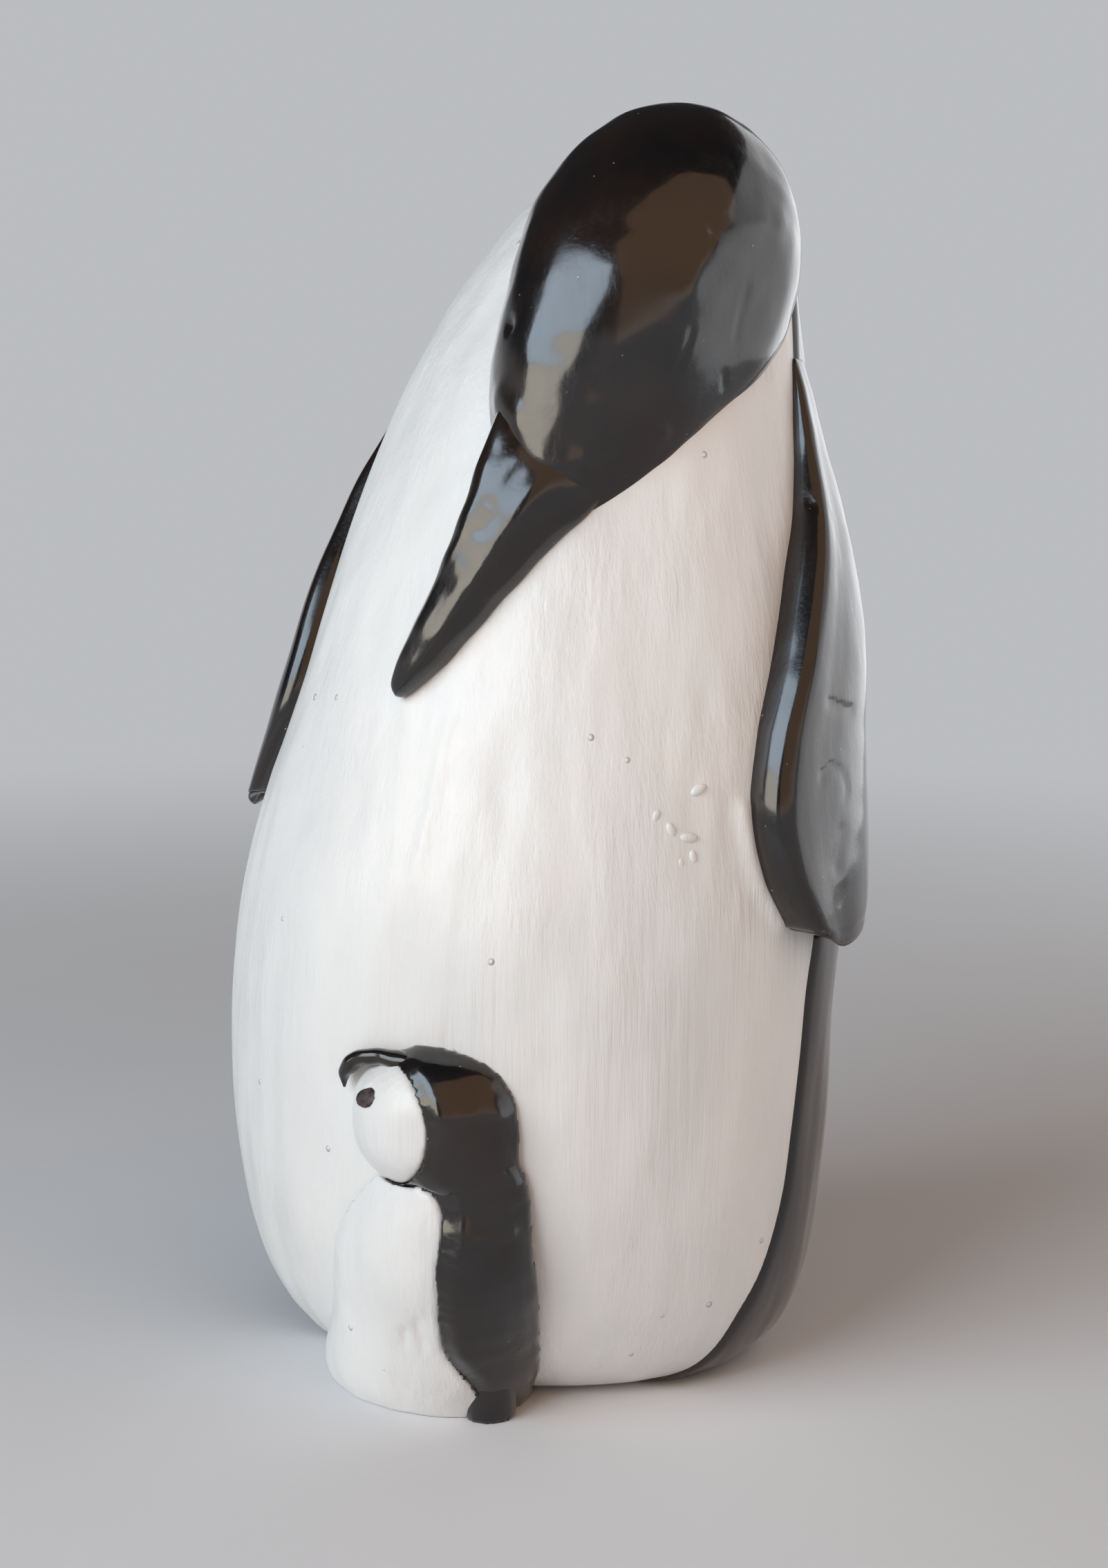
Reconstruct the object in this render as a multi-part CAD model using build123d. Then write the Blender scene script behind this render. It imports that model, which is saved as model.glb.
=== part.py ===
from build123d import *
import math
import os

# Mother penguin and chick in painted clay, in millimetres.
# Z is up, the breast faces -Y, +X is the penguin's own left, and the origin is the middle of the flat base.

# Body of the mother
body_height = 104.8
body_width = 55.1
body_depth = 48.5
head_side_lean = 9.4
head_back_lean = 10.0

# Black sheet over her back
mantle_thickness = 1.5
mantle_proud = 0.3

# Her head and beak
hood_length = 42.6
hood_width = 22.0
hood_thickness = 24.4
hood_nod = 58.0
hood_turn = -25.7
beak_length = 27.4
beak_width = 8.8
beak_thickness = 6.0
beak_base_sink = 1.2
beak_tip_rise = 1.0

# Her flippers
left_flipper_thickness = 3.6
flipper_seat_depth = 1.2
flipper_top_sink = 0.7
flipper_end_hollow = 1.2
right_flipper_thickness = 1.7

# Chick at her feet
chick_height = 32.2
chick_width = 22.6
chick_depth = 17.4
chick_relief = 4.4
chick_turn = -18.0
chick_coat_proud = 0.35
chick_head_width = 14.8
chick_head_height = 12.3
chick_head_depth = 14.6
chick_beak_width = 1.6
chick_beak_rise = 0.6
chick_eye_width = 1.6
chick_eye_depth = 0.8
chick_tail_width = 4.2
chick_tail_height = 4.4

# Each row of the body: its level, its half size and its lean towards the head's place
body_shares = (
    (0.000, 0.600, 0.000),
    (0.009, 0.725, 0.000),
    (0.028, 0.810, -0.010),
    (0.072, 0.893, -0.035),
    (0.153, 0.957, -0.075),
    (0.277, 0.988, -0.060),
    (0.391, 0.987, 0.022),
    (0.496, 0.927, 0.128),
    (0.592, 0.853, 0.235),
    (0.682, 0.779, 0.330),
    (0.763, 0.704, 0.415),
    (0.830, 0.632, 0.515),
    (0.889, 0.555, 0.640),
    (0.935, 0.480, 0.760),
    (0.968, 0.404, 0.842),
    (0.988, 0.300, 0.890),
    (0.998, 0.170, 0.900),
    (1.000, 0.057, 0.905),
)

# Edge of the mantle seen from the side: place from front to back, and level
mantle_edge_shares = (
    (-0.225, 0.000),
    (-0.175, 0.075),
    (-0.122, 0.165),
    (-0.105, 0.270),
    (-0.088, 0.380),
    (-0.045, 0.550),
    (0.022, 0.700),
    (0.090, 0.830),
    (0.135, 0.930),
    (0.140, 1.000),
)

# Hood: its middle's level, and its place to the side and the front in half sizes of the body there
hood_level_share = 0.857
hood_side_share = 0.278
hood_front_share = 0.586
hood_taper_share = 0.27
hood_fullness = 1.9

# Beak: level and angle of each end on the breast
beak_base_level_share = 0.748
beak_tip_level_share = 0.571
beak_base_angle = -83.5
beak_tip_angle = -107.5
beak_taper_share = 0.58
beak_fullness = 3.4

# Each row of a flipper: its level, the angles of its front and back edges round the body, and its thickness
flipper_rows = (
    (0.372, -14.0, 9.0, 0.62),
    (0.392, -20.5, 11.0, 0.72),
    (0.432, -26.5, 13.5, 0.78),
    (0.480, -30.0, 16.0, 0.80),
    (0.535, -29.0, 18.0, 0.86),
    (0.600, -24.5, 20.0, 1.00),
    (0.660, -18.5, 21.0, 0.90),
    (0.715, -12.0, 21.5, 0.68),
    (0.765, -7.0, 20.0, 0.38),
    (0.815, -4.0, 15.0, 0.14),
)

# Level and edge angles of a flipper's top, which is pressed into the body
flipper_top_level_share = 0.838
flipper_top_front = -3.5
flipper_top_back = 12.0

# Section of a flipper: place from front to back edge, and height over the mantle in thicknesses
flipper_outline_shares = (
    (0.000, 0.30),
    (0.040, 0.78),
    (0.150, 1.00),
    (0.450, 1.00),
    (0.800, 0.92),
    (0.960, 0.68),
    (1.000, 0.30),
)
flipper_hollow_share = 0.80
right_flipper_length_share = 0.83

# Each row of the chick's trunk: its level, its half size, its relief and its shift to the side
chick_shares = (
    (0.000, 0.86, 2.12, -0.115),
    (0.047, 0.90, 1.50, -0.115),
    (0.155, 0.90, 1.18, -0.08),
    (0.350, 0.86, 0.98, -0.03),
    (0.530, 0.78, 0.80, 0.00),
    (0.650, 0.63, 0.64, 0.05),
    (0.740, 0.50, 0.45, 0.06),
)

# Edge of the chick's black back seen from the front: place to the side and level
chick_edge_shares = (
    (-0.100, 0.680),
    (0.037, 0.650),
    (0.112, 0.612),
    (0.137, 0.560),
    (0.128, 0.480),
    (0.120, 0.370),
    (0.109, 0.270),
    (0.128, 0.180),
    (0.172, 0.120),
    (0.188, 0.000),
)

# Chick's head, face, beak and eye: places in the head's own half width and half height
chick_head_level_share = 0.80
chick_head_side_share = 0.025
chick_head_fullness = 2.3
face_side_share = -0.47
face_level_share = 0.0
face_width_share = 0.70
face_height_share = 0.86
eye_side_share = -0.54
eye_level_share = 0.38
tail_side_share = 0.205
tail_front_share = 0.93

# Chick's beak from its root to its tip: places in the head's half width and half height, width and rise
chick_beak_shares = (
    (-0.410, 0.850, 0.80, 0.00),
    (-0.640, 0.833, 0.88, 0.50),
    (-0.829, 0.772, 0.98, 1.00),
    (-0.936, 0.691, 0.92, 1.00),
    (-1.011, 0.563, 0.62, 1.00),
    (-1.027, 0.385, 0.15, 1.00),
)

profile_steps = 10
overrun_share = 0.05
overrun = overrun_share * body_height


# Half width share and centre of the body at a share of its height
def body_at(level):
    for low, high in zip(body_shares, body_shares[1:]):
        if level <= high[0]:
            part_way = (level - low[0]) / (high[0] - low[0])
            size, lean = (a + (b - a) * part_way for a, b in zip(low[1:], high[1:]))
            return size, head_side_lean * lean, head_back_lean * lean
    return body_at(1)


# Point at an angle round the body, zero to the penguin's left and -90 in front, pushed out from its surface
def on_body(level, angle, out):
    size, side, back = body_at(level)
    half_width = size * body_width / 2
    half_depth = size * body_depth / 2
    cosine = math.cos(math.radians(angle))
    sine = math.sin(math.radians(angle))
    outward = Vector(cosine / half_width, sine / half_depth, 0).normalized()
    surface = Vector(side + half_width * cosine, back + half_depth * sine, level * body_height)
    return surface + outward * out


# Point in front of the mother's belly, at a place to the side and a height
def on_belly(x, z, out):
    size, side, back = body_at(z / body_height)
    across = (x - side) / (size * body_width / 2)
    return Vector(x, back - size * body_depth / 2 * math.sqrt(1 - across**2) - out, z)


# Body's outer form, grown by a distance that never takes away more than half of a section
def body_form(grow):
    sections = []
    for level, size, lean in body_shares:
        half_width = size * body_width / 2
        half_depth = size * body_depth / 2
        centre = (head_side_lean * lean, head_back_lean * lean, level * (body_height + grow))
        width = max(half_width + grow, half_width / 2)
        depth = max(half_depth + grow, half_depth / 2)
        sections.append(Plane(centre) * Ellipse(width, depth))
    return loft(sections)


# Smooth closed lump about the Z axis from its base at zero, by half width shares along its length
def lump(shares, length, width, thickness):
    points = [(radius * width / 2, along * length) for along, radius in shares]
    tip = (0, length)
    curve = Spline(points + [tip], tangents=[(1, 0), (-1, 0)])
    face = make_face(curve + Line(tip, points[0]))
    turned = revolve(Plane.XZ * face, Axis.Z)
    return scale(turned, by=(1, thickness / width, 1))


# Half width shares of an egg: a taper makes the far end slimmer, a fullness over 2 makes it squarer
def egg(taper, fullness):
    shares = []
    for step in range(profile_steps):
        turn = math.pi * step / profile_steps
        along = -math.copysign(abs(math.cos(turn)) ** (2 / fullness), math.cos(turn))
        radius = math.sin(turn) ** (2 / fullness) * (1 - taper * along)
        shares.append(((along + 1) / 2, radius))
    return shares


# The piece above the surface that the figurine stands on
def above_ground(piece):
    return split(piece, bisect_by=Plane.XY, keep=Keep.TOP)


# Hood: an egg with its wide end at the crown and its slim end at the beak
def hood_form():
    size, side, back = body_at(hood_level_share)
    centre = Vector(
        side + hood_side_share * size * body_width / 2,
        back - hood_front_share * size * body_depth / 2,
        hood_level_share * body_height,
    )
    nod = math.radians(hood_nod)
    turn = math.radians(hood_turn)
    forward = Vector(math.cos(nod) * math.sin(turn), -math.cos(nod) * math.cos(turn), -math.sin(nod))
    crosswise = forward.cross(Vector(0, 0, 1))
    crown = centre - forward * (hood_length / 2)
    place = Plane(origin=crown, x_dir=crosswise, z_dir=forward)
    return place * lump(egg(hood_taper_share, hood_fullness), hood_length, hood_width, hood_thickness)


# Beak: a tapered roll from under the hood down to its tip on the breast
def beak_form():
    base = on_body(beak_base_level_share, beak_base_angle, -beak_base_sink)
    tip = on_body(beak_tip_level_share, beak_tip_angle, beak_tip_rise)
    forward = (tip - base).normalized()
    outward = on_body(beak_base_level_share, beak_base_angle, 0) - base
    start = tip - forward * beak_length
    place = Plane(origin=start, x_dir=forward.cross(outward), z_dir=forward)
    return place * lump(egg(beak_taper_share, beak_fullness), beak_length, beak_width, beak_thickness)


# Mantle: the shell between two body forms, behind the edge that shows on both sides
def mantle_form(outside):
    edge = [(place * body_depth, level * body_height) for place, level in mantle_edge_shares]
    below = (edge[0][0], -overrun)
    above = (edge[-1][0], edge[-1][1] + overrun)
    curve = Spline(edge)
    rim = Polyline(edge[-1], above, (body_depth, above[1]), (body_depth, below[1]), below, edge[0])
    back_side = extrude(Plane.YZ * make_face(curve + rim), amount=body_width, both=True)
    shell = outside - body_form(mantle_proud - mantle_thickness)
    return shell & back_side


# Flipper: a slab with a rolled front edge that lies round the body, cut off and hollowed at its lower end
def flipper_form(side, thickness, length_share):
    top = flipper_top_level_share

    def level_of(row_level):
        return top - (top - row_level) * length_share

    def angle_of(turn):
        return turn if side > 0 else 180 - turn

    def section_of(row_level, front, back, heights):
        places = [(front + (back - front) * row[0], out) for row, out in zip(flipper_outline_shares, heights)]
        places += [(turn, -flipper_seat_depth) for turn in (back, (front + back) / 2, front)]
        points = [on_body(level_of(row_level), angle_of(turn), out) for turn, out in places]
        return make_face(Spline(points, periodic=True))

    sections = []
    for row_level, front, back, size in flipper_rows:
        heights = [mantle_proud + size * thickness * rise for along, rise in flipper_outline_shares]
        sections.append(section_of(row_level, front, back, heights))
    heights = [-flipper_top_sink for row in flipper_outline_shares]
    sections.append(section_of(top, flipper_top_front, flipper_top_back, heights))
    slab = loft(sections)
    row_level, front, back, size = flipper_rows[0]
    end = level_of(row_level)
    reach = body_at(end)[0] * body_depth / 2 * math.radians(back - front)
    scoop = lump(
        egg(0, 2),
        2 * flipper_end_hollow,
        flipper_hollow_share * reach,
        flipper_hollow_share * size * thickness,
    )
    middle = on_body(end, angle_of((front + back) / 2), mantle_proud + size * thickness / 2)
    facing = Plane(origin=middle - Vector(0, 0, flipper_end_hollow), x_dir=(0, 1, 0), z_dir=(0, 0, 1))
    return slab - facing * scoop


# Chick's trunk, grown by a distance, standing proud of the mother's belly
def chick_trunk(grow):
    sections = []
    for level, size, relief, shift in chick_shares:
        z = level * chick_height
        front = on_body(z / body_height, -90, 0)
        half_width = size * chick_width / 2
        half_depth = size * chick_depth / 2
        y = front.Y - relief * chick_relief + half_depth
        place = Plane(origin=(shift * chick_width, y, z)).rotated((0, 0, chick_turn))
        sections.append(place * Ellipse(half_width + grow, half_depth + grow))
    return loft(sections)


# Middle of the chick's head
def chick_head_centre():
    z = chick_head_level_share * chick_height
    front = on_body(z / body_height, -90, 0)
    y = front.Y - chick_relief + chick_head_depth / 2
    return Vector(chick_head_side_share * chick_head_width, y, z)


# Chick's head, grown by a distance
def chick_head(grow):
    height = chick_head_height + 2 * grow
    ball = lump(
        egg(0, chick_head_fullness),
        height,
        chick_head_width + 2 * grow,
        chick_head_depth + 2 * grow,
    )
    return Pos(chick_head_centre() - Vector(0, 0, height / 2)) * ball


# Point on the front of the chick's head by shares of its half width and half height
def on_chick_head(side, level):
    radius = (1 - abs(level) ** chick_head_fullness) ** (1 / chick_head_fullness)
    front = math.sqrt(radius**2 - side**2)
    return chick_head_centre() + Vector(
        side * chick_head_width / 2,
        -front * chick_head_depth / 2,
        level * chick_head_height / 2,
    )


# Everything in front of and behind a flat outline seen from the front
def front_prism(outline):
    return extrude(Plane.XZ * outline, amount=body_depth, both=True)


def chick_back_prism():
    edge = [(place * chick_width, level * chick_height) for place, level in chick_edge_shares]
    curve = Spline(edge)
    below = (edge[-1][0], -overrun)
    above = (edge[0][0], chick_height)
    rim = Polyline(edge[-1], below, (chick_width, below[1]), (chick_width, above[1]), above, edge[0])
    return front_prism(make_face(curve + rim))


def chick_face_prism():
    centre = chick_head_centre()
    x = centre.X + face_side_share * chick_head_width / 2
    z = centre.Z + face_level_share * chick_head_height / 2
    half_width = face_width_share * chick_head_width / 2
    half_height = face_height_share * chick_head_height / 2
    return front_prism(Pos(x, z) * Ellipse(half_width, half_height))


# Chick's beak: a small hooked horn that runs from the front of its hood down onto the mother's belly
def chick_beak_form():
    centre = chick_head_centre()
    points = []
    for side, level, width, rise in chick_beak_shares:
        x = centre.X + side * chick_head_width / 2
        z = centre.Z + level * chick_head_height / 2
        points.append(on_belly(x, z, rise * chick_beak_rise))
    sections = []
    for row, point in enumerate(points):
        along = points[min(row + 1, len(points) - 1)] - points[max(row - 1, 0)]
        place = Plane(origin=point, x_dir=(0, 1, 0), z_dir=along)
        sections.append(place * Circle(chick_beak_shares[row][2] * chick_beak_width / 2))
    return loft(sections)


def chick_tail_form():
    x = tail_side_share * chick_width
    front = on_body(0, -90, 0).Y - chick_shares[0][2] * chick_relief * tail_front_share
    ball = lump(egg(0, 2), chick_tail_height * 2, chick_tail_width, chick_tail_width)
    return Pos(x, front + chick_tail_width / 2, -chick_tail_height) * ball


# Mother's pieces, each cut by the ones that are pressed into it
hood = hood_form()
mantle_outside = body_form(mantle_proud)
mantle = mantle_form(mantle_outside)
torso = body_form(0) - mantle - hood
mantle = mantle - hood
beak = beak_form() - hood - torso
left_flipper = flipper_form(1, left_flipper_thickness, 1) - mantle_outside - hood
right_flipper = flipper_form(-1, right_flipper_thickness, right_flipper_length_share) - mantle_outside

# Chick's pieces, pressed onto the mother's belly
back_side = chick_back_prism()
face_side = chick_face_prism()
head = chick_head(0)
head_coat = chick_head(chick_coat_proud)
eye_place = on_chick_head(eye_side_share, eye_level_share)
eye_axis = Plane(origin=eye_place, z_dir=eye_place - chick_head_centre())
eye_rod = eye_axis * Cylinder(chick_eye_width / 2, 2 * chick_eye_depth)
chick_tail = above_ground(chick_tail_form()) - torso
chick_beak = chick_beak_form() - torso
chick_eye = (head & eye_rod) - chick_beak
chick_face = (head & face_side) - eye_rod - torso - chick_beak
chick_hood = head_coat - face_side - torso - chick_beak
chick_body = chick_trunk(0) - back_side - torso - mantle - head_coat - chick_tail
chick_mantle = (chick_trunk(chick_coat_proud) & back_side) - torso - head_coat - chick_tail

pieces = {
    "torso": torso,
    "back_mantle": mantle,
    "hood": hood,
    "beak": beak,
    "left_flipper": left_flipper,
    "right_flipper": right_flipper,
    "chick_body": chick_body,
    "chick_mantle": chick_mantle,
    "chick_tail": chick_tail,
    "chick_face": chick_face,
    "chick_hood": chick_hood,
    "chick_beak": chick_beak,
    "chick_eye": chick_eye,
}

os.makedirs("parts", exist_ok=True)
for name, piece in pieces.items():
    solids = piece.solids()
    print(name, "solids", len(solids), "volume", round(sum(solid.volume for solid in solids), 2))
    export_step(Compound(solids), f"parts/{name}.step")
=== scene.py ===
import math

import bmesh
import bpy
import numpy as np
from mathutils import Matrix, Vector
from mathutils.kdtree import KDTree


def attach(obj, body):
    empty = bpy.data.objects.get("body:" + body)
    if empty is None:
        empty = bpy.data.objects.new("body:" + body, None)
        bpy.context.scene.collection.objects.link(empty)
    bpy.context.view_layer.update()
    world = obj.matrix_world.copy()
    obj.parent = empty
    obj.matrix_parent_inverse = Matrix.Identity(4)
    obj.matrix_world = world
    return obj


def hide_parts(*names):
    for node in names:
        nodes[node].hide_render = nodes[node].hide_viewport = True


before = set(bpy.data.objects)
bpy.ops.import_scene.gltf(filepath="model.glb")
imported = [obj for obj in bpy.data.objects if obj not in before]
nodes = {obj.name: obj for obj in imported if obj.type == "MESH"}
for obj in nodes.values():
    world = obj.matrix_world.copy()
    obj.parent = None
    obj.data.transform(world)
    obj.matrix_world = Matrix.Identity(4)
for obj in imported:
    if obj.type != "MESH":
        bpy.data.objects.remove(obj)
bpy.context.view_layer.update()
scene = bpy.context.scene
mm = 0.001
print("frame loaded:", len(nodes), "nodes")

# Camera where the photographer stood: a little to the penguin's left and above the chick
view = {"place": (91.83, -222.97, 88.49), "tilt": 81.0, "turn": 22.0, "angle": 32.0, "film": 36.0, "near": 0.01}


def placeCamera():
    data = bpy.data.cameras.new("camera")
    data.sensor_fit = "VERTICAL"
    data.sensor_height = view["film"]
    data.lens = view["film"] / 2 / math.tan(math.radians(view["angle"] / 2))
    data.clip_start = view["near"]
    camera = bpy.data.objects.new("camera", data)
    camera.location = Vector(view["place"]) * mm
    camera.rotation_euler = (math.radians(view["tilt"]), 0, math.radians(view["turn"]))
    scene.collection.objects.link(camera)
    scene.camera = camera


placeCamera()

# Lamps: turn is the angle from the breast towards the penguin's left, rise is the height angle
lamps = {
    "windowSky": {
        "turn": -27, "rise": 33.5, "far": 450, "size": (380, 150), "watts": 1.08, "colour": (0.70, 0.85, 1.0),
    },
    "windowSill": {
        "turn": -25, "rise": 15.5, "far": 450, "size": (350, 130), "watts": 0.67, "colour": (1.0, 0.93, 0.80),
    },
    "sideGlow": {
        "turn": 139, "rise": 12, "far": 380, "size": (660, 470), "watts": 0.90, "colour": (0.97, 0.98, 1.0),
    },
    "warmFill": {
        "turn": 54, "rise": 36, "far": 520, "size": (760, 560), "watts": 0.95, "colour": (1.0, 0.60, 0.35),
    },
}
room = {"colour": (0.80, 0.82, 0.85), "strength": 0.62, "ceiling": 0.03, "paleUpTo": 7, "darkFrom": 18}
figureMiddle = Vector((2, 0, 50)) * mm


def hangLamp(name, look):
    data = bpy.data.lights.new(name, "AREA")
    data.shape = "RECTANGLE"
    data.size = look["size"][0] * mm
    data.size_y = look["size"][1] * mm
    data.energy = look["watts"]
    data.color = look["colour"]
    lamp = bpy.data.objects.new(name, data)
    turn = math.radians(look["turn"])
    rise = math.radians(look["rise"])
    away = Vector((math.sin(turn) * math.cos(rise), -math.cos(turn) * math.cos(rise), math.sin(rise)))
    lamp.location = figureMiddle + away * look["far"] * mm
    lamp.rotation_euler = away.to_track_quat("Z", "Y").to_euler()
    lamp.visible_camera = False
    scene.collection.objects.link(lamp)


for lampName, lampLook in lamps.items():
    hangLamp(lampName, lampLook)


# Node shorthand: adds a node, sets its values and links its inputs
def addNode(tree, kind, values=None, links=None):
    node = tree.nodes.new(kind)
    for key, value in (values or {}).items():
        if isinstance(key, str) and key in node.bl_rna.properties:
            setattr(node, key, value)
        else:
            node.inputs[key].default_value = value
    for key, source in (links or {}).items():
        tree.links.new(source, node.inputs[key])
    return node


# Carries a value from one range to another, in a straight line unless another way is given
def ramp(tree, value, low, high, first=0, last=1, way="LINEAR"):
    values = {
        "interpolation_type": way,
        "From Min": low,
        "From Max": high,
        "To Min": first,
        "To Max": last,
    }
    return addNode(tree, "ShaderNodeMapRange", values, {"Value": value}).outputs[0]


# Pale up to a little above the horizon, dim overhead
def paintRoom():
    world = bpy.data.worlds.new("room")
    scene.world = world
    world.use_nodes = True
    tree = world.node_tree
    tree.nodes.clear()
    place = addNode(tree, "ShaderNodeTexCoord")
    parts = addNode(tree, "ShaderNodeSeparateXYZ", None, {"Vector": place.outputs["Generated"]})
    low, high = (math.sin(math.radians(room[key])) for key in ("paleUpTo", "darkFrom"))
    fade = ramp(tree, parts.outputs["Z"], low, high, room["strength"], room["ceiling"], "SMOOTHSTEP")
    glow = addNode(tree, "ShaderNodeBackground", {"Color": (*room["colour"], 1)}, {"Strength": fade})
    addNode(tree, "ShaderNodeOutputWorld", None, {"Surface": glow.outputs[0]})


paintRoom()
scene.view_settings.view_transform = "Standard"
print("camera, lamps and room ready")


# Materials, all on Object coordinates turned into millimetres
def paintBase(name):
    material = bpy.data.materials.new(name)
    material.use_nodes = True
    tree = material.node_tree
    tree.nodes.clear()
    place = addNode(tree, "ShaderNodeTexCoord").outputs["Object"]
    values = {"operation": "SCALE", "Scale": 1 / mm}
    scaled = addNode(tree, "ShaderNodeVectorMath", values, {"Vector": place})
    shader = addNode(tree, "ShaderNodeBsdfPrincipled")
    addNode(tree, "ShaderNodeOutputMaterial", None, {"Surface": shader.outputs[0]})
    return material, tree, scaled.outputs[0], shader


# Noise with so many waves to the millimetre, stretched along an axis
def grain(tree, place, scale, stretch=(1, 1, 1), detail=2, rough=0.5):
    spread = addNode(tree, "ShaderNodeMapping", {"Scale": stretch}, {"Vector": place}).outputs[0]
    values = {"Scale": scale, "Detail": detail, "Roughness": rough}
    return addNode(tree, "ShaderNodeTexNoise", values, {"Vector": spread}).outputs["Fac"]


def multiply(tree, first, second):
    return addNode(tree, "ShaderNodeMath", {"operation": "MULTIPLY"}, {0: first, 1: second}).outputs[0]


# Share of a dot's radius within which it has its full strength
dotHeart = 0.35


# Round dots: nearer than a radius to random points, only where the point's own number is high
def dots(tree, place, scale, radius, rarity):
    cells = addNode(tree, "ShaderNodeTexVoronoi", {"Scale": scale}, {"Vector": place})
    near = ramp(tree, cells.outputs["Distance"], radius, radius * dotHeart, way="SMOOTHSTEP")
    parts = addNode(tree, "ShaderNodeSeparateColor", None, {"Color": cells.outputs["Color"]})
    rare = addNode(tree, "ShaderNodeMath", {"operation": "GREATER_THAN", 1: rarity}, {0: parts.outputs[0]})
    return multiply(tree, near, rare.outputs[0])


# From one colour to another; the mix node's sockets 6 and 7 are its two colours
def mixColour(tree, value, first, last):
    mix = addNode(tree, "ShaderNodeMix", {"data_type": "RGBA"})
    tree.links.new(value, mix.inputs[0])
    for place, colour in ((6, first), (7, last)):
        if isinstance(colour, tuple):
            mix.inputs[place].default_value = (*colour, 1)
        else:
            tree.links.new(colour, mix.inputs[place])
    return mix.outputs[2]


# Layers of height, each with its depth in millimetres
def relief(tree, layers):
    normal = None
    for value, depth in layers:
        links = {"Height": value}
        if normal:
            links["Normal"] = normal
        normal = addNode(tree, "ShaderNodeBump", {"Strength": 1.0, "Distance": depth * mm}, links).outputs[0]
    return normal


# Parts of a noise's range over which brush marks change the roughness and patches change the colour
brushSpread = (0.3, 0.7)
patchSpread = (0.35, 0.65)

# Satin white: strokes that are strong in some regions, fine strokes, lumps, pimples and specks of dirt
whitePaint = {
    "pale": (0.84, 0.84, 0.83),
    "shade": (0.77, 0.77, 0.765),
    "speck": (0.30, 0.25, 0.20),
    "strokes": {"scale": 1.25, "stretch": (1, 1, 0.055), "detail": 4, "rough": 0.6},
    "regions": {"scale": 0.13, "stretch": (1, 1, 0.7)},
    "regionRange": (0.38, 0.62, 0.25, 1.0),
    "fineStrokes": {"scale": 4.5, "stretch": (1, 1, 0.05), "rough": 0.6},
    "lumps": {"scale": 0.22, "stretch": (1, 1, 0.6)},
    "pimples": {"scale": 0.33, "radius": 0.12, "rarity": 0.80},
    "patches": {"scale": 0.09, "stretch": (1, 1, 0.5), "detail": 3},
    "specks": {"scale": 0.24, "radius": 0.030, "rarity": 0.90},
    "depths": {"lumps": 0.30, "strokes": 0.16, "fineStrokes": 0.035, "pimples": 0.22},
    "roughness": (0.34, 0.50),
    "coat": {"Coat Weight": 0.22, "Coat Roughness": 0.22},
}


# Constants on a shader's sockets
def setSockets(shader, values):
    for name, value in values.items():
        shader.inputs[name].default_value = value


def makeWhite():
    look = whitePaint
    depths = look["depths"]
    material, tree, place, shader = paintBase("whitePaint")
    evenStrokes = grain(tree, place, **look["strokes"])
    strength = ramp(tree, grain(tree, place, **look["regions"]), *look["regionRange"])
    strokes = multiply(tree, evenStrokes, strength)
    fineStrokes = grain(tree, place, **look["fineStrokes"])
    lumps = grain(tree, place, **look["lumps"])
    pimples = dots(tree, place, **look["pimples"])
    patches = grain(tree, place, **look["patches"])
    specks = dots(tree, place, **look["specks"])
    tone = mixColour(tree, ramp(tree, patches, *patchSpread), look["pale"], look["shade"])
    tree.links.new(mixColour(tree, specks, tone, look["speck"]), shader.inputs["Base Color"])
    tree.links.new(ramp(tree, evenStrokes, *brushSpread, *look["roughness"]), shader.inputs["Roughness"])
    layers = [
        (lumps, depths["lumps"]),
        (strokes, depths["strokes"]),
        (fineStrokes, depths["fineStrokes"]),
        (pimples, depths["pimples"]),
    ]
    tree.links.new(relief(tree, layers), shader.inputs["Normal"])
    setSockets(shader, look["coat"])
    return material


# Varnished black: an orange peel skin over brush marks and lumps, browner in patches, with dust in it
blackPaint = {
    "deep": (0.006, 0.006, 0.007),
    "brown": (0.016, 0.010, 0.008),
    "dustColour": (0.30, 0.29, 0.28),
    "peel": {"scale": 2.6},
    "brush": {"scale": 0.9, "stretch": (1, 1, 0.12), "detail": 3, "rough": 0.6},
    "lumps": {"scale": 0.30, "stretch": (1, 1, 0.7)},
    "tint": {"scale": 0.12},
    "dust": {"scale": 0.75, "radius": 0.075, "rarity": 0.72},
    "depths": {"lumps": 0.10, "brush": 0.030, "peel": 0.022},
    "roughness": (0.16, 0.30),
    "coat": {"Coat Weight": 1.0, "Coat Roughness": 0.12, "Specular IOR Level": 0.22},
}


def makeBlack():
    look = blackPaint
    depths = look["depths"]
    material, tree, place, shader = paintBase("blackPaint")
    peel = grain(tree, place, **look["peel"])
    brush = grain(tree, place, **look["brush"])
    lumps = grain(tree, place, **look["lumps"])
    tint = grain(tree, place, **look["tint"])
    dust = dots(tree, place, **look["dust"])
    tone = mixColour(tree, ramp(tree, tint, *patchSpread), look["deep"], look["brown"])
    tree.links.new(mixColour(tree, dust, tone, look["dustColour"]), shader.inputs["Base Color"])
    tree.links.new(ramp(tree, brush, *brushSpread, *look["roughness"]), shader.inputs["Roughness"])
    layers = [(lumps, depths["lumps"]), (brush, depths["brush"]), (peel, depths["peel"])]
    tree.links.new(relief(tree, layers), shader.inputs["Normal"])
    setSockets(shader, look["coat"])
    return material


# Thin dark brown dab, blotted darker in places
eyePaint = {
    "rim": (0.075, 0.045, 0.045),
    "heart": (0.015, 0.010, 0.012),
    "blot": {"scale": 1.4, "detail": 3, "rough": 0.6},
    "blotRange": (0.4, 0.6),
    "depth": 0.05,
    "coat": {"Roughness": 0.45},
}


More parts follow.
